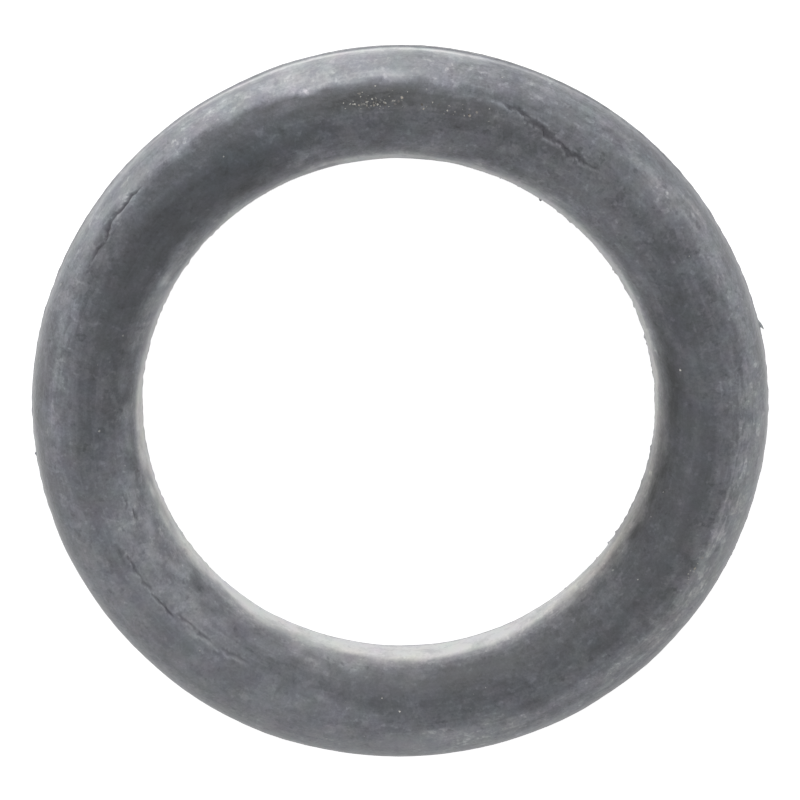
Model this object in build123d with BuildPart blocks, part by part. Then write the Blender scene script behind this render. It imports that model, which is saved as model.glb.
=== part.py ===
from build123d import *
from math import cos, radians, sin, tan
import os

# An O-ring moulded in one piece from black nitrile rubber, as it came out of service.
# Millimetres and degrees. The ring lies flat: its axis is +Z through the origin, and the lowest
# line of the cord touches z = 0.
# Two angles give a place on the cord. The azimuth runs round the ring, anticlockwise from +X.
# The section angle runs round the cord: 0 on top, 90 at the outside, -90 at the hole.

os.makedirs("parts", exist_ok=True)

# The ring: a round cord closed on itself
inside_diameter = 24.7  # across the hole, cord to cord
cord_diameter = 5.36

# The flash: the ridge that the two mould halves leave where they part, round the hole.
# Outside it was trimmed back to the cord, apart from a few leaves.
flash_height = 0.05  # how far its flat crest stands out of the cord
flash_crest = 0.16  # the crest's width along the ring's axis
flash_flank = 50  # slope of its two flanks, from the crest's line

# Leaves of thin rubber left standing on the parting line after trimming
leaf_thickness = 0.05
leaf_root = 0.02  # how far a leaf is rooted in the rubber

# azimuth, width at the root, reach out of the root, shift of the tip round the ring
outer_leaves = [
    (12.8, 0.32, 0.28, -0.30),
    (82.0, 0.30, 0.14, 0.05),
    (187.8, 0.35, 0.12, -0.08),
    (334.0, 0.40, 0.18, 0.10),
]
inner_leaves = [
    (45.7, 0.22, 0.12, 0.04),
    (56.6, 0.40, 0.18, -0.10),
    (310.6, 0.24, 0.12, 0.05),
    (325.5, 0.30, 0.14, -0.06),
    (349.7, 0.26, 0.12, 0.06),
]

# Damage: tears that run out to a point at both ends.
# azimuth and section angle of the start, azimuth and section angle of the end, width, depth
gouge = [
    (67.9, 23.4, 60.1, 12.2, 0.42, 0.12),
    (60.2, 10.6, 55.0, 9.6, 0.32, 0.14),
]
split = [
    (138.4, 42.3, 145.3, 42.5, 0.14, 0.22),
    (145.0, 42.8, 148.5, 37.5, 0.28, 0.20),
]
ageing_crack = [
    (205.4, -0.2, 222.5, -7.0, 0.12, 0.10),
]

# Worked out from the sizes above
cord_radius = cord_diameter / 2
hole_radius = inside_diameter / 2
centreline_radius = hole_radius + cord_radius
outside_radius = centreline_radius + cord_radius
crest_radius = hole_radius - flash_height
ridge_depth = 3 * flash_height  # crest to the ridge's buried base, two heights inside the cord
ridge_base = flash_crest + 2 * ridge_depth / tan(radians(flash_flank))


def radial(azimuth, section_angle):
    """Unit vector out of the cord's surface at these two angles."""
    flat = sin(radians(section_angle))
    return Vector(
        flat * cos(radians(azimuth)),
        flat * sin(radians(azimuth)),
        cos(radians(section_angle)),
    )


def on_cord(azimuth, section_angle):
    """Point on the cord's surface at these two angles."""
    centre = Vector(
        centreline_radius * cos(radians(azimuth)),
        centreline_radius * sin(radians(azimuth)),
        cord_radius,
    )
    return centre + radial(azimuth, section_angle) * cord_radius


def tear(start_azimuth, start_angle, end_azimuth, end_angle, width, depth):
    """Cut a V between two places on the cord, widest and deepest in the middle.

    The V narrows to a point at both ends. Its mouth is width across where it leaves the cord, and
    its bottom is depth below the straight line that joins the ends.
    """
    start = on_cord(start_azimuth, start_angle)
    end = on_cord(end_azimuth, end_angle)
    middle_azimuth = (start_azimuth + end_azimuth) / 2
    middle_angle = (start_angle + end_angle) / 2
    middle = (start + end) * 0.5
    along = (end - start).normalized()
    across = radial(middle_azimuth, middle_angle).cross(along).normalized()
    outward = along.cross(across)
    bulge = (on_cord(middle_azimuth, middle_angle) - middle).dot(outward)
    top = 2 * bulge + depth  # high enough for the V to clear the cord all the way
    top_width = width * (top + depth) / (bulge + depth)
    with BuildSketch(Plane(middle, x_dir=across, z_dir=along)) as mouth:
        Polygon((0, -depth), (top_width / 2, top), (-top_width / 2, top), align=None)
    loft([Vertex(*start), mouth.sketch.face(), Vertex(*end)], ruled=True, mode=Mode.SUBTRACT)


with BuildPart() as o_ring:
    # Cord and flash in one section, turned round the ring's axis
    with BuildSketch(Plane.XZ):
        with Locations((centreline_radius, cord_radius)):
            Circle(cord_radius)
        with Locations((crest_radius, cord_radius)):
            Trapezoid(
                ridge_base,
                ridge_depth,
                flash_flank,
                rotation=90,
                align=(Align.CENTER, Align.MAX),
            )
    revolve(axis=Axis.Z)

    # Leaves on the parting plane, which halves the cord
    with BuildSketch(Plane.XY.offset(cord_radius)):
        for azimuth, width, reach, lean in outer_leaves:
            with PolarLocations(outside_radius, 1, azimuth):
                Polygon((-leaf_root, -width / 2), (reach, lean), (-leaf_root, width / 2), align=None)
        for azimuth, width, reach, lean in inner_leaves:
            with PolarLocations(crest_radius, 1, azimuth):
                Polygon((leaf_root, -width / 2), (leaf_root, width / 2), (-reach, lean), align=None)
    extrude(amount=leaf_thickness / 2, both=True)

    for place_and_size in gouge + split + ageing_crack:
        tear(*place_and_size)

o_ring.part.label = "o_ring"
export_step(o_ring.part, "parts/o_ring.step")
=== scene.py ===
"""An O-ring of aged nitrile rubber, as it came out of service, lying on a pale floor."""
from math import cos, pi, radians, sin

import bpy
import numpy as np
from mathutils import Matrix, Vector


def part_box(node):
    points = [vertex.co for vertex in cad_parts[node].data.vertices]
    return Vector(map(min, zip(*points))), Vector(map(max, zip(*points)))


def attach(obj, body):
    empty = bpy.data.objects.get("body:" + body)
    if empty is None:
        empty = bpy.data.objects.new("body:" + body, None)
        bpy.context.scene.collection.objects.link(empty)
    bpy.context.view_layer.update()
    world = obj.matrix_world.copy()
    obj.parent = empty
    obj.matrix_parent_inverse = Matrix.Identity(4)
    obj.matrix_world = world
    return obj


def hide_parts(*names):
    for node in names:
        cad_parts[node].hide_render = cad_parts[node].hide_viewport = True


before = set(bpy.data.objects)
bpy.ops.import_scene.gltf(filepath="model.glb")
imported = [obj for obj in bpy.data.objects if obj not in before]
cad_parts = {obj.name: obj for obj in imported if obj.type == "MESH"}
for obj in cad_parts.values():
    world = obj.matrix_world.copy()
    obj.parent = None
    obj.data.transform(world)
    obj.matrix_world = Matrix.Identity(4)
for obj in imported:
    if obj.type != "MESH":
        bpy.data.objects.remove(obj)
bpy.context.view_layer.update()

# Lengths are in millimetres and angles in degrees until a mesh, a lamp or the camera is made.
# Two angles give a place on the cord. The azimuth runs round the ring, anticlockwise from +X.
# The section angle runs round the cord: 0 on top, 90 at the outside, -90 at the hole.
# A place's half length is taken round the ring and its half width round the cord, both as angles.
MM = 0.001

lowest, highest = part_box("o_ring")
cord_radius = (highest.z - lowest.z) / 2 / MM
outside_radius = highest.x / MM
hole_radius = outside_radius - 2 * cord_radius
centreline_radius = outside_radius - cord_radius

# The grid of the skin
columns = 1000  # round the ring
rows = 96  # round the cord

# Columns gather at the damage: azimuth and half length of each stretch of it
damaged_stretches = [(62, 11), (144, 8), (213, 12)]

# Rows gather at a line that runs through the damage: azimuths and section angles along it
damage_line = [
    (70, 28),
    (63, 16),
    (57, 10),
    (140, 42),
    (149, 37),
    (201, -32),
    (209, -4),
    (217, -5),
    (229, -13),
    (237, -15),
]

# The cord is thicker than its mean on one side of the ring, and thinner by as much on the other
thicker_side = 25
thicker_by = 0.035

# How high the ripples of the moulded skin stand
low_ripple = 0.008
fine_ripple = 0.003

# Low swells, because the cord isn't quite even round the ring:
# azimuth, section angle, half length, half width, height
swells = [
    (243, 90, 20, 50, 0.075),
    (255, -90, 24, 50, 0.095),
    (28, 90, 12, 45, -0.060),
    (92, 90, 9, 45, 0.045),
    (117, 90, 9, 45, -0.060),
    (153, 90, 22, 45, -0.055),
    (330, 90, 12, 45, -0.020),
    (45, -90, 12, 45, 0.045),
    (112, -90, 8, 45, 0.025),
    (176, -90, 12, 45, -0.035),
    (347, -90, 14, 45, -0.035),
]

# The flash: the ridge that the two mould halves leave where they part. Trimming left short teeth on it,
# and their height is a share of the ridge's height.
flash_crest = 0.14
flash_flank = 0.05
inner_flash_height = 0.05
outer_flash_height = 0.035
inner_flash_teeth = 1.0
outer_flash_teeth = 0.3
most_teeth = 10  # azimuth of the side where trimming left the most
flash_raggedness = 0.24  # how much the ridge's height varies
tooth_rarity = 1.1  # a ripple leaves a tooth where it is higher than this many times its usual height

# Leaves of thin rubber that trimming left on the parting line
leaf_thickness = 0.05
leaf_root = 0.06  # how deep a leaf starts in the cord
leaf_slices = 10  # from root to tip
leaf_sides = 12  # points round each slice

# azimuth, width at the root, reach out of the cord, shift of the tip round the ring, droop of the tip
outer_leaves = [
    (13.2, 0.52, 0.21, -0.36, 0.05),
    (82.0, 0.30, 0.12, 0.05, 0.00),
    (188.2, 0.24, 0.05, -0.03, 0.00),
    (334.6, 0.30, 0.07, 0.04, 0.00),
]
inner_leaves = [
    (45.7, 0.22, 0.10, 0.04, 0.00),
    (56.6, 0.34, 0.20, -0.06, -0.04),
    (310.6, 0.24, 0.10, 0.05, 0.02),
    (325.5, 0.30, 0.12, -0.06, 0.03),
    (349.7, 0.26, 0.10, 0.06, -0.02),
]

# Cuts: azimuth and section angle of the start, azimuth and section angle of the end, width, depth
gouge = [
    (69.0, 26.0, 60.1, 11.8, 0.40, 0.12),
    (60.0, 11.2, 54.4, 9.6, 0.42, 0.13),
]
gouge_tails = [
    (72.3, 29.2, 67.0, 25.0, 0.27, 0.14),
    (62.0, 14.2, 57.6, 9.8, 0.23, 0.11),
    (56.2, 9.6, 52.0, 11.6, 0.17, 0.07),
]
split = [
    (137.2, 41.6, 145.5, 42.2, 0.25, 0.15),
    (144.7, 43.0, 148.5, 36.8, 0.38, 0.15),
    (148.4, 37.0, 152.7, 36.9, 0.22, 0.12),
    (153.4, 35.6, 154.6, 34.4, 0.20, 0.07),
]
ageing_cracks = [
    (196.2, -30.0, 199.6, -25.8, 0.16, 0.06),
    (199.7, -31.8, 203.5, -33.8, 0.17, 0.12),
    (206.2, -4.2, 213.4, -5.8, 0.17, 0.09),
    (212.9, -5.6, 216.4, -6.3, 0.21, 0.07),
    (216.2, -5.4, 223.0, -6.5, 0.16, 0.12),
    (221.6, -11.5, 226.8, -13.2, 0.17, 0.08),
    (225.4, -12.9, 231.6, -12.1, 0.20, 0.07),
    (230.6, -4.0, 234.6, -6.7, 0.16, 0.04),
    (233.0, -14.0, 240.0, -16.8, 0.21, 0.06),
    (251.0, -7.7, 257.8, -10.1, 0.14, 0.05),
]

# Creases that stand up a little beside the cracks, with a painted highlight along them, in rows of the same
# kind, with a height for the depth
creases = [
    (224.6, -6.2, 234.2, -11.6, 0.24, 0.012),
    (233.6, -9.8, 239.4, -12.8, 0.20, 0.012),
    (137.6, 38.4, 146.0, 39.0, 0.14, 0.012),
]

# How far the gouge's lowest line is towards one of its edges, as a share of half its width. In the other
# cuts it is in the middle.
gouge_lean = 0.48

# How much the width and the line of a cut wander, as shares of its width
width_wander = 0.14
line_wander = 0.15

# How high the lips of a cut stand, and how far they reach
gouge_lip = 0.02
crack_lip = 0.01
lip_reach = 0.07

# A cut at least this deep is painted darkest, as shade and the dirt it holds, and a shallower one is
# painted less dark
darkest_cut_depth = 0.15

# A cut at least this wide has a painted highlight on its lips, and a narrower one a fainter highlight
wide_cut = 0.35

# Patches of bloom, thicker where the last number is above 0 and worn away where it is below:
# azimuth, section angle, half length, half width, change
patches = [
    # On the crown
    (60, -24, 8, 17, 0.10),
    (68, -18, 26, 14, 0.14),
    (75, 28, 8, 5, 0.12),
    (82, 17, 5, 6, 0.07),
    (82, 20, 14, 10, -0.10),
    (94, 16, 14, 9, -0.06),
    (97, 27, 14, 11, -0.34),
    (102, -30, 8, 15, 0.08),
    (105, -15, 9, 7, 0.10),
    (140, 0, 22, 34, -0.16),
    (195, -20, 16, 26, 0.06),
    (210, 16, 5, 5, -0.07),
    (212, -26, 20, 18, 0.22),
    (222, -6, 24, 16, 0.14),
    (225, 12, 36, 30, 0.08),
    (226, -24, 6, 6, 0.08),
    (240, -30, 11, 20, 0.08),
    (254, 6, 18, 22, 0.12),
    (256, 16, 9, 9, 0.07),
    (261, 0, 6, 9, 0.09),
    (270, 25, 9, 10, 0.06),
    (278, 30, 14, 16, 0.14),
    (300, -10, 9, 10, 0.06),
    (318, 26, 22, 12, 0.06),
    (331, 22, 8, 7, 0.10),
    (341, 1, 8, 8, -0.08),
    (350, 15, 8, 8, 0.08),
    # Outside
    (0, 56, 11, 8, -0.06),
    (12, 43, 10, 7, 0.10),
    (30, 71, 9, 9, -0.09),
    (30, 80, 8, 5, -0.10),
    (45, 70, 12, 12, -0.20),
    (67, 40, 9, 9, -0.16),
    # Those near azimuth 90 to 110 and section angle 40 shape the edge of the painted sheen
    (90, 40, 5, 5, 0.10),
    (90, 78, 20, 10, 0.12),
    (92, 44, 9, 8, 0.10),
    (104, 79, 10, 5, -0.10),
    (106, 41, 8, 5, -0.28),
    (110, 40, 6, 5, -0.12),
    (132, 32, 22, 12, -0.16),
    (136, 42, 10, 9, 0.13),
    (140, 41, 6, 6, 0.08),
    (141, 70, 8, 7, 0.16),
    (148, 50, 8, 12, 0.10),
    (148, 74, 13, 7, 0.11),
    (162, 53, 7, 6, -0.08),
    (166, 57, 13, 12, -0.08),
    (178, 64, 16, 20, -0.18),
    (181, 35, 9, 8, -0.07),
    (188, 70, 17, 8, -0.12),
    (200, 58, 14, 12, -0.10),
    (286, 38, 8, 7, -0.09),
    (300, 34, 6, 5, -0.08),
    (300, 35, 44, 22, 0.07),
    (335, 34, 12, 12, 0.08),
    (355, 54, 26, 14, 0.16),
    # Towards the hole
    (1, -56, 15, 7, -0.18),
    (1, -38, 10, 7, 0.09),
    (8, -44, 18, 12, -0.28),
    (10, -66, 8, 6, 0.12),
    (12, -49, 9, 5, -0.08),
    (22, -68, 15, 6, 0.14),
    (30, -34, 20, 14, 0.16),
    (36, -69, 9, 6, 0.12),
    (42, -36, 14, 14, 0.06),
    (50, -64, 22, 7, 0.10),
    (58, -37, 11, 12, 0.12),
    (60, -64, 9, 5, 0.08),
    (82, -42, 7, 12, -0.16),
    (95, -61, 18, 7, 0.24),
    (105, -53, 9, 10, 0.17),
    (117, -44, 10, 14, -0.20),
    (150, -42, 9, 9, 0.10),
    (150, -34, 14, 12, 0.10),
    (172, -52, 10, 14, -0.24),
    (180, -36, 9, 9, 0.09),
    (188, -72, 12, 8, 0.18),
    (188, -52, 12, 10, -0.10),
    (197, -38, 11, 14, 0.12),
    (200, -56, 6, 6, 0.08),
    (201, -84, 9, 8, -0.12),
    (211, -33, 7, 8, 0.08),
    (221, -56, 8, 28, -0.09),
    (222, -58, 18, 10, -0.20),
    (226, -65, 11, 6, -0.20),
    (231, -31, 5, 6, 0.08),
    (232, -61, 8, 6, 0.10),
    (241, -52, 6, 8, 0.09),
    (247, -73, 8, 6, -0.10),
    (250, -52, 26, 10, -0.14),
    (258, -65, 11, 6, -0.16),
    (270, -40, 9, 8, -0.08),
    (280, -70, 30, 8, 0.20),
    (286, -36, 18, 12, -0.14),
    (300, -58, 9, 6, 0.09),
    (305, -48, 14, 8, 0.08),
    (310, -71, 7, 6, -0.07),
    (310, -54, 20, 10, -0.16),
    (316, -48, 10, 13, 0.11),
    (320, -86, 12, 5, -0.06),
    (320, -64, 8, 6, 0.18),
    (335, -56, 10, 5, -0.10),
    (337, -77, 17, 9, -0.20),
    (342, -79, 12, 7, -0.20),
    (345, -61, 30, 10, -0.27),
    # Where the gouge and the longest crack begin
    (68.9, 24.0, 0.8, 2.0, 0.14),
    (72.6, 29.5, 0.8, 2.5, 0.25),
    (206.2, -1.4, 3.0, 3.2, -0.24),
]

# Where brown dust clings: azimuth, section angle, half length, half width, share of the places it could
# cling to
dusty_places = [
    (94.6, 14.5, 2.4, 4, 0.60),
    (90, 16, 10, 7, 0.12),
    (79, 9, 4, 5, 0.14),
    (332, 25, 3, 5, 0.20),
]

# Where the film is warmer than elsewhere, or cooler if the last number is below 0, in rows of the same kind
warm_places = [
    (92, 16, 18, 12, 0.45),
    (330, 15, 20, 40, 0.25),
    (60, 5, 20, 30, 0.15),
    (190, -76, 26, 16, 0.32),
    (340, -68, 30, 18, 1.2),
    (262, -62, 55, 20, 0.38),
    (120, 2, 13, 24, -0.9),
    (75, 32, 10, 9, -0.4),
]

# Where the film's patterns are weaker than elsewhere, because it is spread more evenly
even_places = [
    (235, 12, 42, 60, -0.40),
    (352, -14, 36, 18, -0.40),
    (135, -5, 20, 26, -0.20),
    (250, -50, 22, 14, -0.20),
]

# Where the film has flaked along the ring
flaky_places = [
    (345, 34, 30, 16, 0.75),
    (165, 30, 18, 11, 0.5),
    (75, 30, 8, 8, 0.4),
    (48, 52, 14, 14, 0.5),
]

# What the skin's points carry for the material, and how much of it the leaves of flash have
on_leaves = {
    # The leaves are paler than most of the skin, partly painted light that lifts them out of their own
    # shade
    "film_and_painted_light": 0.8,
    "cut_shade": 0,
    "lip_highlight": 0,
    "dust": 0,
    "broken": 0,
    "warm": 0,
    "uneven": 0.9,
    "flaked": 0,
}

# Light and floor
sky_strength = 0.5
floor_width = 1800
floor_glow = 0.8  # what brings the floor up to white for the camera

# Camera
tilt = 16.1  # its lean from straight above, towards +Y
camera_distance = 650
sensor_width = 36
picture_width = 38.52  # what the picture takes in at the ring's middle
aim_right = 0.030  # how far its aim is from the ring's middle, in the picture
aim_up = 0.166


def linear(colour):
    """The linear RGBA of an sRGB hex value. A channel under 0.04045 is divided by 12.92. Any other has
    0.055 added, is divided by 1.055 and is raised to the power 2.4."""
    channels = [int(colour[i:i + 2], 16) / 255 for i in (1, 3, 5)]
    return [c / 12.92 if c < 0.04045 else ((c + 0.055) / 1.055) ** 2.4 for c in channels] + [1.0]


def turned(angle, centre):
    """The angle from centre, brought between -180 and 180."""
    return (angle - centre + 180) % 360 - 180


def step(start, end, value):
    """A smooth rise from 0 at start to 1 at end: the cubic 3 t squared less 2 t cubed of the share t of the
    way between them."""
    t = np.clip((value - start) / (end - start), 0, 1)
    return t * t * (3 - 2 * t)


def swing(azimuth, peak, times=1):
    """A cosine from -1 to 1 that peaks at an azimuth, and swings this many times round the ring."""
    return np.cos(np.radians(times * (azimuth - peak)))


def bell(angle, centre, half_width):
    """A rise to 1 at the centre: e to the power of less the square of the angle from it in half widths."""
    return np.exp(-(turned(angle, centre) / half_width) ** 2)


def hump(azimuth, section, place):
    """A round rise to 1 at a place: a bell round the ring times a bell round the cord."""
    middle_azimuth, middle_section, half_length, half_width = place
    return bell(azimuth, middle_azimuth, half_length) * bell(section, middle_section, half_width)


def spread(azimuth, section, places):
    """The sum of the humps at all places of a list, each times the last number of its row."""
    return sum(amount * hump(azimuth, section, place) for *place, amount in places)


def waves(azimuth, section, around, across, count, seed):
    """Ripples that close on themselves: a sum of count cosines, each with a whole number of periods round
    the ring and round the cord, drawn at random up to around and across. The sum is scaled so that its
    usual height is about 1."""
    chance = np.random.default_rng(seed)
    total = np.zeros(np.broadcast(azimuth, section).shape)
    for _ in range(count):
        turns = chance.integers(-around, around + 1)
        coils = chance.integers(-across, across + 1)
        phase = chance.uniform(0, 2 * pi)
        total += np.cos(np.radians(azimuth * turns + section * coils) + phase)
    return total * (2 / count) ** 0.5


def gathered(angle, centre, share, width):
    """Draws evenly spaced angles together round a centre, and spreads the others evenly to make room. The
    angle from the centre loses share times width times the hyperbolic tangent of the angle over the width,
    and gets back share times width times the angle over 180, which closes the circle."""
    off = turned(angle, centre)
    return centre + off - share * width * (np.tanh(off / width) - off / 180)


def ring_grid():
    """Azimuths and section angles of the grid. Columns gather at the damage, and rows gather at the parting
    lines and at the damage line. At each azimuth, that line is the mean of its points. Each point counts
    by how near it is, and by a small rest that is the same for all."""
    azimuth = np.arange(columns) * 360 / columns
    for middle, half_length in damaged_stretches:
        azimuth = gathered(azimuth, middle, share=0.55, width=half_length)
    azimuth = np.sort(azimuth % 360)[:, None]
    section = np.arange(rows)[None, :] * 360 / rows - 180 + 0 * azimuth
    sharpness, rest = 220, 0.001
    nearness = [np.exp(sharpness * (swing(azimuth, along) - 1)) + rest for along, _ in damage_line]
    through_damage = sum(near * angle for near, (_, angle) in zip(nearness, damage_line)) / sum(nearness)
    section = gathered(section, through_damage, share=0.72, width=13)
    for parting_line in (90, -90):
        section = gathered(section, parting_line, share=0.65, width=4)
    return azimuth + 0 * section, turned(section, 0)


def closed_grid():
    """The four-sided faces of the skin's grid, which closes both ways, wound so that they face outwards."""
    column, row = np.meshgrid(np.arange(columns), np.arange(rows), indexing="ij")
    next_column = (column + 1) % columns
    next_row = (row + 1) % rows
    corners = [(column, row), (column, next_row), (next_column, next_row), (next_column, row)]
    return np.stack([across * rows + down for across, down in corners], axis=-1).reshape(-1, 4)


def on_cord(azimuth, section, height):
    """Points of the cord's skin, height above it. The distance from the axis is the centreline's radius
    plus the cord's radius and the height times the sine of the section angle. The level above the
    centreline is the same sum times the cosine."""
    a = np.radians(azimuth)
    s = np.radians(section)
    reach = cord_radius + height
    out = centreline_radius + reach * np.sin(s)
    return np.stack([out * np.cos(a), out * np.sin(a), cord_radius + reach * np.cos(s)], axis=-1)


def flash(azimuth, section, parting_line, height, teeth, seed):
    """The height of a parting ridge: a flat crest that falls to the cord over its flanks, times a ragged
    factor. The factor changes round the ring and rises in short teeth where finer ripples are highest, most
    of all on the side where trimming left the most."""
    away = np.abs(turned(section, parting_line)) * pi / 180 * cord_radius
    profile = 1 - step(flash_crest / 2, flash_crest / 2 + flash_flank, away)
    ragged = 0.9 + flash_raggedness * waves(azimuth, 0, around=220, across=0, count=40, seed=seed)
    ripples = waves(azimuth, 0, around=450, across=0, count=60, seed=seed + 10)
    tooth = np.clip(ripples - tooth_rarity, 0, 1.3) * (0.65 + 0.35 * swing(azimuth, most_teeth))
    return height * profile * (np.clip(ragged, 0.2, 1.8) + teeth * tooth)


def cut(azimuth, section, row, lean, seed):
    """How deep one cut is and how high its lips stand, both from 0 to 1. Along its line a cut opens and
    closes again with the square root of a parabola. Across, it deepens from both edges to its lowest line,
    which lean moves to one side, with a power a little under one. Its line and its width both wander, by
    a sum of three sines. The lips stand up along the edges and fall away outside them as a bell."""
    start_azimuth, start_section, end_azimuth, end_section, width, _ = row
    middle = np.radians((start_section + end_section) / 2)
    mm_round = pi / 180 * (centreline_radius + cord_radius * np.sin(middle))
    mm_over = pi / 180 * cord_radius
    line = np.array([(end_azimuth - start_azimuth) * mm_round, (end_section - start_section) * mm_over])
    length = np.hypot(*line)
    line /= length
    x = turned(azimuth, start_azimuth) * mm_round
    y = (section - start_section) * mm_over
    along = (x * line[0] + y * line[1]) / length
    side = y * line[0] - x * line[1]
    opening = np.sqrt(np.clip(4 * along * (1 - along), 0, 1))
    chance = np.random.default_rng(seed)
    wander = sum(
        np.sin(2 * pi * along * length * turns + chance.uniform(0, 2 * pi)) / turns
        for turns in (0.8, 1.7, 3.3)
    )
    half = np.maximum(width / 2 * opening * (1 + width_wander * wander), 1e-6)
    across = (side - line_wander * width * wander) / half
    near_side = (across + 1) / (lean + 1)
    far_side = (1 - across) / (1 - lean)
    hollow = np.clip(np.where(across < lean, near_side, far_side), 0, 1) ** 0.8 * opening
    outside = np.clip(np.abs(across) - 1, 0, None) * half
    lips = opening * np.exp(-(outside / lip_reach) ** 2) * (np.abs(across) > 1)
    return hollow, lips


def bloom_and_painted_light(azimuth, section):
    """How pale the skin is painted, from 0, nearly black rubber, to 1, pale grey, and how broken up the
    edges of its film of bloom are. The crown has the least film, above and below, where the groove's walls
    rubbed it. The film thickens slowly towards the outside, and much more towards the hole. On two sides of
    the ring it is paler still outside a line: a painted sheen on the side that faces the lamp, and paler
    film round azimuth 342. A painted highlight runs above the outer parting line, and painted shade below
    both parting lines. Patches of film are thicker or worn away."""
    drift = 3 * waves(azimuth, section, around=14, across=6, count=24, seed=31)
    drift += 2 * waves(azimuth, section, around=60, across=16, count=40, seed=32)
    toward_outside = 90 - np.abs(turned(section, 90)) + drift
    toward_hole = 90 - np.abs(turned(section, -90)) + drift
    crown = 0.26
    outside = (0.26 - 0.08 * swing(azimuth, 50)) * step(-8, 45, toward_outside)

    # The film in the hole, and its edge, which is sharper on one side of the ring
    edge = 58 - 7 * swing(azimuth, 105) - 4 * swing(azimuth, 60, times=2)
    sharp = bell(azimuth, 335, 24)
    past_edge = step(edge - 32 + 17 * sharp, edge + 20 - 7 * sharp, toward_hole)
    in_hole = (0.70 - 0.06 * swing(azimuth, 60)) * past_edge

    # Paler outside a line: a painted sheen on the side that faces the lamp, round azimuth 105, and paler
    # film round azimuth 342. The line is sharper at its plainest stretch
    off = turned(azimuth, 95)
    line = 41 - 18 * step(40, 75, off) - 18 * step(-75, -115, off)
    blur = 3.5 - 1.7 * bell(azimuth, 114, 14)
    past_sheen_line = step(line - blur, line + blur, toward_outside)
    sheen_and_pale_film = 0.10 * step(90, 60, np.abs(off))
    sheen_and_pale_film += 0.20 * bell(azimuth, 105, 26) + 0.14 * bell(azimuth, 342, 24)

    # A painted highlight above the outer parting line, where the ridge's upper flank faces the light, and
    # painted shade in strips just below both parting lines
    painted_highlight_line = 0.26 * hump(azimuth, section, (94, 83.5, 46, 3.2))
    below_outer = step(87, 89, section) * step(112, 100, section)
    below_inner = step(-90.5, -92.5, section) * step(-112, -100, section)
    painted_shade_strips = 0.36 * below_outer * hump(azimuth, section, (88, 90, 40, 60))
    painted_shade_strips += 0.14 * below_inner * hump(azimuth, section, (272, -90, 50, 60))

    film_and_painted_light = crown + outside + in_hole + sheen_and_pale_film * past_sheen_line + spread(azimuth, section + drift, patches)
    broken_in_hole = (0.7 + 0.4 * swing(azimuth, 90)) * past_edge * (1 - past_edge)
    broken_outside = 4 * sheen_and_pale_film * past_sheen_line * (1 - past_sheen_line)
    return film_and_painted_light + painted_highlight_line - painted_shade_strips, broken_in_hole + broken_outside


def skin():
    """The ring's skin: its points, its faces, and by name what each point carries for the material. That is
    how thick its film is, with painted sheen, highlight and shade in it, how dark its cuts are painted with
    shade and dirt, how near to a cut's lip or on a crease for a painted highlight, how dusty, how broken up
    at the film's edges, how warm, how strongly patterned, and how far flaked."""
    azimuth, section = ring_grid()
    swell = thicker_by * swing(azimuth, thicker_side)
    height = swell + spread(azimuth, section, swells)
    height += low_ripple * waves(azimuth, section, around=30, across=6, count=40, seed=11)
    height += fine_ripple * waves(azimuth, section, around=160, across=40, count=60, seed=12)
    height += flash(azimuth, section, -90, inner_flash_height, inner_flash_teeth, seed=21)
    height += flash(azimuth, section, 90, outer_flash_height, outer_flash_teeth, seed=22)

    # Painted shade fills the cuts, with the dirt they hold, darker the deeper a cut is
    cut_shade = np.zeros_like(height)
    # A painted highlight on the lips of the cuts and along the creases
    lip_highlight = np.zeros_like(height)
    cuts = [(row, gouge_lean, gouge_lip) for row in gouge]
    cuts += [(row, 0, crack_lip) for row in gouge_tails + split + ageing_cracks]
    for number, (row, lean, lip_height) in enumerate(cuts):
        width, depth = row[4:]
        hollow, lips = cut(azimuth, section, row, lean, seed=100 + number)
        height += lip_height * lips - depth * hollow
        cut_shade = np.maximum(cut_shade, hollow * min(depth / darkest_cut_depth, 1))
        lip_highlight = np.maximum(lip_highlight, lips * min(width / wide_cut, 1))
    for number, row in enumerate(creases):
        ridge, _ = cut(azimuth, section, row, lean=0, seed=200 + number)
        height += row[5] * ridge
        lip_highlight = np.maximum(lip_highlight, ridge)

    # The thicker side stands higher, so that the ring lies on the floor all round
    points = on_cord(azimuth, section, height)
    points[..., 2] = np.maximum(points[..., 2] + swell, 0)

    # The patterns are strongest on a middling film, and weaker on bare rubber and on the thickest bloom
    film_and_painted_light, broken = bloom_and_painted_light(azimuth, section)
    uneven = 0.54 + 0.95 * film_and_painted_light - 1.00 * step(0.58, 0.86, film_and_painted_light)
    carried = {
        "film_and_painted_light": film_and_painted_light,
        "cut_shade": cut_shade,
        "lip_highlight": lip_highlight,
        "dust": spread(azimuth, section, dusty_places),
        "broken": broken,
        "warm": spread(azimuth, section, warm_places),
        "uneven": uneven * (1 + spread(azimuth, section, even_places)),
        "flaked": spread(azimuth, section, flaky_places),
    }
    return points.reshape(-1, 3), closed_grid(), {name: np.clip(carried[name], -1, 1) for name in on_leaves}


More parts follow.
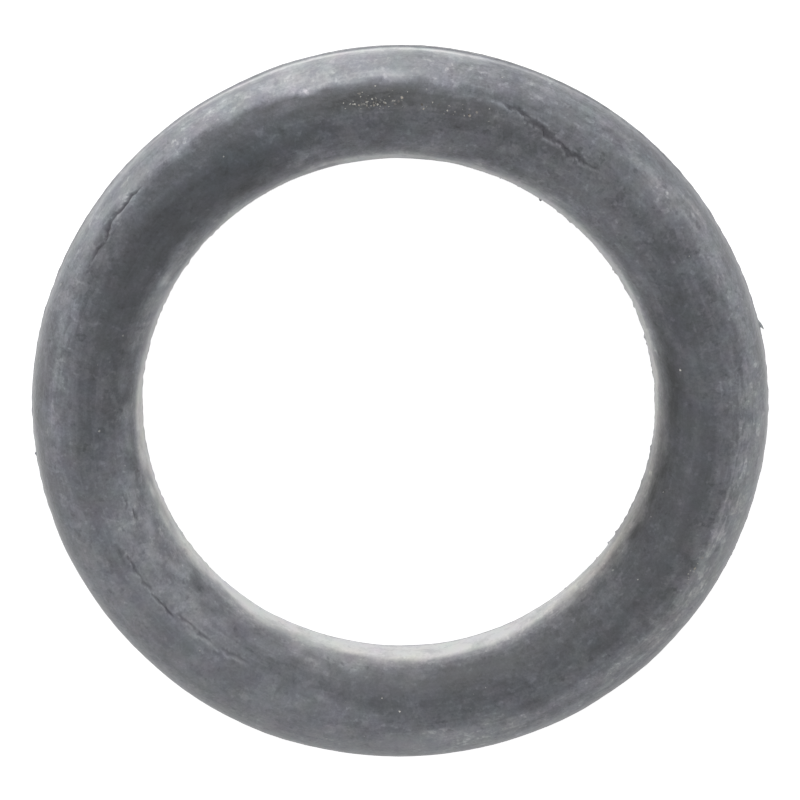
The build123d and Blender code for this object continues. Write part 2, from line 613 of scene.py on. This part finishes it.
def leaf(row, side, start):
    """One leaf of flash, outside where side is 1 and in the hole where it is -1: a thin tongue whose
    section is a flat ellipse. From root to tip it narrows and thins with the square root of 1 less the way
    to the power 1.5, its edges waver with a sine, and its middle shifts and droops with the square of the
    way. Its points are counted from start."""
    azimuth, width, reach, shift, droop = row
    way = np.linspace(0, 1, leaf_slices)[:, None]
    angle = np.arange(leaf_sides)[None, :] * 2 * pi / leaf_sides
    left = np.sqrt(np.clip(1 - way ** 1.5, 0.02, 1))
    edge = outside_radius if side > 0 else hole_radius
    out = edge + side * ((reach + leaf_root) * way - leaf_root) + 0 * angle
    waver = 1 + 0.2 * np.sin(7 * way + azimuth)
    along = shift * way ** 2 + width / 2 * left * waver * np.cos(angle)
    level = cord_radius - droop * way ** 2 + leaf_thickness / 2 * left * np.sin(angle)
    a = np.radians(azimuth) + along / edge
    points = np.stack([out * np.cos(a), out * np.sin(a), level], axis=-1).reshape(-1, 3)

    number, point = np.meshgrid(np.arange(leaf_slices - 1), np.arange(leaf_sides), indexing="ij")
    this = start + number * leaf_sides + point
    beside = start + number * leaf_sides + (point + 1) % leaf_sides
    sides = np.stack([this, this + leaf_sides, beside + leaf_sides, beside], axis=-1)
    root = [start + j for j in range(leaf_sides)]
    tip = [j + (leaf_slices - 1) * leaf_sides for j in reversed(root)]
    faces = sides.reshape(-1, 4).tolist() + [root, tip]
    return points, [face[::-1] for face in faces] if side < 0 else faces


def put(name, data):
    """A new object with this data, linked to the scene."""
    thing = bpy.data.objects.new(name, data)
    bpy.context.scene.collection.objects.link(thing)
    return thing


def make_ring():
    """The whole ring as one piece: its skin and, rooted in it, its leaves of flash."""
    points, faces, carried = skin()
    skin_count = len(points)
    points = [points]
    faces = faces.tolist()
    count = skin_count
    for side, leaves in ((1, outer_leaves), (-1, inner_leaves)):
        for row in leaves:
            more_points, more_faces = leaf(row, side, count)
            points.append(more_points)
            faces += more_faces
            count += len(more_points)
    mesh = bpy.data.meshes.new("rubber_ring")
    mesh.from_pydata((np.concatenate(points) * MM).tolist(), [], faces)
    mesh.update()
    mesh.polygons.foreach_set("use_smooth", np.ones(len(mesh.polygons), bool))
    for name, amount in carried.items():
        everywhere = np.append(amount, np.full(count - skin_count, on_leaves[name]))
        attribute = mesh.attributes.new(name, "FLOAT", "POINT")
        attribute.data.foreach_set("value", everywhere.astype(np.float32))
    return put("rubber_ring", mesh)


def add(tree, kind, sockets=None, **settings):
    """Adds a node. Settings are its properties. Sockets are its inputs, by number or name: a value, an
    output to link, or a node, whose first output in use is linked."""
    made = tree.nodes.new(kind)
    for name, value in settings.items():
        setattr(made, name, value)
    for name, value in (sockets or {}).items():
        if isinstance(name, int):
            socket = made.inputs[name]
        else:
            socket = next(socket for socket in made.inputs if socket.name == name and socket.enabled)
        if isinstance(value, bpy.types.Node):
            value = next(output for output in value.outputs if output.enabled)
        if isinstance(value, bpy.types.NodeSocket):
            tree.links.new(value, socket)
        else:
            socket.default_value = value
    return made


def emptied(owner):
    """The node tree of a material or a world, with nothing in it."""
    owner.use_nodes = True
    owner.node_tree.nodes.clear()
    return owner.node_tree


def where_on_ring(tree):
    """The place in millimetres, and what streaks are laid by: the distance from the axis, the level, and
    the heading as a point on a circle, which closes without a seam."""
    place = add(tree, "ShaderNodeTexCoord").outputs["Object"]
    place = add(tree, "ShaderNodeVectorMath", {0: place, 1: (1 / MM,) * 3}, operation="MULTIPLY")
    flat = add(tree, "ShaderNodeVectorMath", {0: place, 1: (1, 1, 0)}, operation="MULTIPLY")
    out = add(tree, "ShaderNodeVectorMath", {0: flat}, operation="LENGTH")
    level = add(tree, "ShaderNodeSeparateXYZ", {0: place}).outputs["Z"]
    heading = add(tree, "ShaderNodeVectorMath", {0: flat}, operation="NORMALIZE")
    heading = add(tree, "ShaderNodeSeparateXYZ", {0: heading}).outputs
    return place, (out, level, heading["X"], heading["Y"])


def mottle(tree, place, size, detail=2.0):
    """Noise from 0 to 1 whose blotches are about size across."""
    return add(tree, "ShaderNodeTexNoise", {"Vector": place, "Scale": 1 / size, "Detail": detail})


def streaks(tree, laid_by, length, width, detail=2.0):
    """Noise from 0 to 1 drawn out into streaks, of about this length round the ring and width across it."""
    turns = centreline_radius / length
    scaled = [
        add(tree, "ShaderNodeMath", {0: value, 1: factor}, operation="MULTIPLY")
        for value, factor in zip(laid_by, (1 / width, 1 / width, turns, turns))
    ]
    vector = add(tree, "ShaderNodeCombineXYZ", dict(zip("XYZ", scaled)))
    sockets = {"Vector": vector, "W": scaled[3], "Scale": 1.0, "Detail": detail}
    return add(tree, "ShaderNodeTexNoise", sockets, noise_dimensions="4D")


def bent_by_noise(tree, place, size):
    """The place moved by up to size along each axis, by noise of that size."""
    noise = mottle(tree, place, size).outputs["Color"]
    return add(tree, "ShaderNodeVectorMath", {0: noise, 1: (size,) * 3, 2: place}, operation="MULTIPLY_ADD")


def patterned_film(tree, place, laid_by, carried, grain, scuffs):
    """The film with all its patterns. Flakes and fine lines are where a noise is highest, and bare pits
    where one is lowest. Scales are the cells that the film has broken into, with bent edges."""
    flakes, pits, lines = (
        add(tree, "ShaderNodeMapRange", {"Value": noise, "From Min": first, "From Max": last},
            interpolation_type="SMOOTHSTEP")
        for noise, first, last in (
            (mottle(tree, place, size=0.42, detail=3), 0.60, 0.68),
            (mottle(tree, place, size=0.50, detail=3), 0.38, 0.30),
            (streaks(tree, laid_by, length=2.5, width=0.14), 0.56, 0.70),
        )
    )
    bent = bent_by_noise(tree, place, size=0.5)
    large_scales, small_scales = (
        add(tree, "ShaderNodeSeparateColor", {
            0: add(tree, "ShaderNodeTexVoronoi", {"Vector": bent, "Scale": 1 / size}).outputs["Color"],
        }).outputs["Red"]
        for size in (0.75, 0.35)
    )

    # What each pattern changes by, from its middle: clouds, blotches and grain, marks of handling round the
    # ring, flakes, pits, lines and scales. The grain of real bloom is a few hundredths of a millimetre, and
    # the finest here is drawn at 0.11 so that it shows.
    change = 0
    for strength, middle, pattern in (
        (0.42, 0.5, mottle(tree, place, size=3.0)),
        (0.16, 0.5, mottle(tree, place, size=0.9)),
        (0.08, 0.5, mottle(tree, place, size=0.45)),
        (0.23, 0.5, grain),
        (0.25, 0.5, mottle(tree, place, size=0.11)),
        (0.12, 0.5, scuffs),
        (0.30, 0.5, streaks(tree, laid_by, length=6, width=0.6)),
        (0.20, 0.5, streaks(tree, laid_by, length=3, width=0.35)),
        (0.13, 0.1, flakes),
        (-0.12, 0.1, pits),
        (0.06, 0.1, lines),
        (0.08, 0.5, large_scales),
        (0.09, 0.5, small_scales),
    ):
        change = add(tree, "ShaderNodeMath", {0: pattern, 1: strength, 2: change}, operation="MULTIPLY_ADD")
        change = add(tree, "ShaderNodeMath", {0: change, 1: middle * strength}, operation="SUBTRACT")

    # Tongues across the cord where the film ends, and places where it peels along the ring
    tongues = add(tree, "ShaderNodeMath", {
        0: streaks(tree, laid_by, length=0.55, width=1.6), 1: 0.5,
    }, operation="SUBTRACT")
    peeling = add(tree, "ShaderNodeMapRange", {
        "Value": streaks(tree, laid_by, length=0.7, width=0.26, detail=3),
        "From Min": 0.44,
        "From Max": 0.56,
        "To Min": -0.12,
        "To Max": 0.12,
    }, interpolation_type="SMOOTHSTEP")
    # The lips of the cuts and the creases are painted paler, as a highlight
    lip_highlight_lift = 0.26
    film_and_painted_light = carried["film_and_painted_light"]
    for name, pattern in (("uneven", change), ("broken", tongues), ("flaked", peeling), ("lip_highlight", lip_highlight_lift)):
        film_and_painted_light = add(tree, "ShaderNodeMath", {0: pattern, 1: carried[name], 2: film_and_painted_light},
                   operation="MULTIPLY_ADD")
    return film_and_painted_light


def film_colour(tree, place, film_and_painted_light, warm):
    """The colour of the film and the light painted into it: bare black rubber, then thicker and thicker
    bloom, and paler where sheen and highlight are painted. Its hue wanders a little, and it is tinted where
    it is warmer or cooler."""
    colour = add(tree, "ShaderNodeValToRGB", {"Fac": film_and_painted_light})
    ramp = colour.color_ramp
    shades = [(0.0, "#26282b"), (0.25, "#494b50"), (0.5, "#6c6e74"), (0.75, "#909297"), (1.0, "#d0d1d2")]
    while len(ramp.elements) < len(shades):
        ramp.elements.new(0.5)
    for element, (position, shade) in zip(ramp.elements, shades):
        element.position = position
        element.color = linear(shade)
    wander = 0.15
    hue = add(tree, "ShaderNodeVectorMath", {
        0: mottle(tree, place, size=1.1).outputs["Color"], 1: (wander,) * 3, 2: (1 - wander / 2,) * 3,
    }, operation="MULTIPLY_ADD")
    cool = add(tree, "ShaderNodeMath", {0: warm, 1: -1}, operation="MULTIPLY")
    for tint, amount in ((hue, 1.0), (linear("#fff9ec"), warm), (linear("#f2fbff"), cool)):
        colour = add(tree, "ShaderNodeMix", {"Factor": amount, "A": colour, "B": tint},
                     data_type="RGBA", blend_type="MULTIPLY")
    return colour


def with_crumbs(tree, place, colour, dust):
    """The colour with grey dust and brown crumbs where they cling, and pale specks all over. A cell of a
    Voronoi pattern, bent a little by noise, holds one if its random red is under the share. The size times
    its random green is the radius in cells, and the strength times its random blue is how much shows."""
    bent = bent_by_noise(tree, place, size=0.10)
    for cell, share, size, strength, shade in (
        (0.09, dust, 0.75, 1.1, "#a8a69f"),  # fine grey dust
        (0.17, dust, 0.50, 0.9, "#9c958b"),  # brown crumbs
        (0.16, dust, 0.55, 1.4, "#3a342e"),  # dark crumbs
        (0.60, 0.28, 0.10, 0.8, "#a9a9a6"),  # dull specks
        (0.90, 0.20, 0.08, 1.4, "#c9c6c0"),  # bright specks
    ):
        cells = add(tree, "ShaderNodeTexVoronoi", {"Vector": bent, "Scale": 1 / cell})
        draw = add(tree, "ShaderNodeSeparateColor", {0: cells.outputs["Color"]}).outputs
        chosen = add(tree, "ShaderNodeMath", {0: draw["Red"], 1: share}, operation="LESS_THAN")
        radius = add(tree, "ShaderNodeMath", {0: draw["Green"], 1: size}, operation="MULTIPLY")
        speck = add(tree, "ShaderNodeMath", {0: cells.outputs["Distance"], 1: radius},
                    operation="LESS_THAN")
        for factor in (chosen, strength, draw["Blue"]):
            speck = add(tree, "ShaderNodeMath", {0: speck, 1: factor}, operation="MULTIPLY")
        colour = add(tree, "ShaderNodeMix", {"Factor": speck, "A": colour, "B": linear(shade)},
                     data_type="RGBA")
    return colour


def nitrile_rubber():
    """Nitrile rubber, moulded and aged: black rubber under a thin grey film of bloom and dust, with painted
    sheen, highlight and shade in its colour. That makes it dull, mottled and finely marked round the ring
    where it was handled, and nearly black in its cuts, where shade is painted with the dirt they hold."""
    material = bpy.data.materials.new("nitrile_rubber_moulded_aged")
    tree = emptied(material)
    place, laid_by = where_on_ring(tree)
    carried = {
        name: add(tree, "ShaderNodeAttribute", attribute_name=name).outputs["Fac"] for name in on_leaves
    }
    grain = mottle(tree, place, size=0.20)
    scuffs = streaks(tree, laid_by, length=1.6, width=0.22)
    film_and_painted_light = patterned_film(tree, place, laid_by, carried, grain, scuffs)
    colour = film_colour(tree, place, film_and_painted_light, carried["warm"])
    colour = with_crumbs(tree, place, colour, carried["dust"])
    # Painted shade in the cuts, with the dirt they hold: the deeper a cut, the nearer black
    cut_darkening = add(tree, "ShaderNodeMapRange", {"Value": carried["cut_shade"], "To Max": 0.86})
    colour = add(tree, "ShaderNodeMix", {"Factor": cut_darkening, "A": colour, "B": linear("#25212a")},
                 data_type="RGBA")

    # Worn places shine a little more than thick bloom. Its dust gives a soft sheen where it is seen aslant.
    roughness = add(tree, "ShaderNodeMapRange", {
        "Value": film_and_painted_light, "From Max": 0.8, "To Min": 0.47, "To Max": 0.66,
    })
    relief = add(tree, "ShaderNodeMath", {0: scuffs, 1: 0.6, 2: grain}, operation="MULTIPLY_ADD")
    bump = add(tree, "ShaderNodeBump", {"Height": relief, "Strength": 1.0, "Distance": 0.02 * MM})
    shader = add(tree, "ShaderNodeBsdfPrincipled", {
        "Base Color": colour,
        "Roughness": roughness,
        "Normal": bump,
        "IOR": 1.52,
        "Sheen Weight": 0.5,
        "Sheen Roughness": 0.4,
    })
    add(tree, "ShaderNodeOutputMaterial", {"Surface": shader})
    return material


def shows_white(tree):
    """1 on camera, glossy and transmission rays, which see the background as white, and 0 on the others."""
    path = add(tree, "ShaderNodeLightPath")
    seen = path.outputs["Is Camera Ray"]
    for kind in ("Is Glossy Ray", "Is Transmission Ray"):
        seen = add(tree, "ShaderNodeMath", {0: seen, 1: path.outputs[kind]}, operation="MAXIMUM")
    return seen


def make_floor():
    """A plain pale floor, matt, which glows so that the camera and reflections see it as white."""
    half = floor_width / 2 * MM
    mesh = bpy.data.meshes.new("floor")
    corners = [(-half, -half, 0), (half, -half, 0), (half, half, 0), (-half, half, 0)]
    mesh.from_pydata(corners, [], [(0, 1, 2, 3)])
    material = bpy.data.materials.new("floor_matt_white")
    tree = emptied(material)
    matt = add(tree, "ShaderNodeBsdfDiffuse", {"Color": linear("#e6e6e6")})
    lift = add(tree, "ShaderNodeMath", {0: shows_white(tree), 1: floor_glow}, operation="MULTIPLY")
    glow = add(tree, "ShaderNodeEmission", {"Color": (1, 1, 1, 1), "Strength": lift})
    both = add(tree, "ShaderNodeAddShader", {0: matt, 1: glow})
    add(tree, "ShaderNodeOutputMaterial", {"Surface": both})
    mesh.materials.append(material)
    return put("floor", mesh)


def light_world():
    """An even sky that lights the ring softly, white where the camera or a reflection sees it."""
    world = bpy.data.worlds.new("studio")
    tree = emptied(world)
    strength = add(tree, "ShaderNodeMath", {
        0: shows_white(tree), 1: 1 - sky_strength, 2: sky_strength,
    }, operation="MULTIPLY_ADD")
    sky = add(tree, "ShaderNodeBackground", {"Color": (1, 1, 1, 1), "Strength": strength})
    add(tree, "ShaderNodeOutputWorld", {"Surface": sky})
    bpy.context.scene.world = world


def make_lamp(name, azimuth, elevation, distance, width, height, power):
    """A soft box that faces the ring from a direction, given in degrees and millimetres, with its power in
    watts."""
    a, e = radians(azimuth), radians(elevation)
    away = Vector((cos(a) * cos(e), sin(a) * cos(e), sin(e)))
    data = bpy.data.lights.new(name, "AREA")
    data.shape = "RECTANGLE"
    data.size = width * MM
    data.size_y = height * MM
    data.energy = power
    facing = away.to_track_quat("Z", "Y").to_matrix().to_4x4()
    put(name, data).matrix_world = Matrix.Translation(away * distance * MM) @ facing


def make_camera():
    """A long lens far away, leaning from straight above towards +Y, with +X to the right."""
    lean = radians(tilt)
    right = Vector((1, 0, 0))
    up = Vector((0, cos(lean), -sin(lean)))
    back = Vector((0, sin(lean), cos(lean)))
    aim = Vector((0, 0, cord_radius)) + right * aim_right + up * aim_up
    data = bpy.data.cameras.new("camera")
    data.sensor_width = sensor_width
    data.lens = sensor_width * camera_distance / picture_width
    camera = put("camera", data)
    place = (aim + back * camera_distance) * MM
    camera.matrix_world = Matrix.Translation(place) @ Matrix((right, up, back)).transposed().to_4x4()
    bpy.context.scene.camera = camera


make_camera()
light_world()
make_lamp("key", azimuth=98, elevation=33, distance=400, width=450, height=350, power=1.25)
floor = make_floor()

ring = make_ring()
ring.data.materials.append(nitrile_rubber())
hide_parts("o_ring")
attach(ring, "root")

bpy.context.scene.view_settings.view_transform = "Standard"
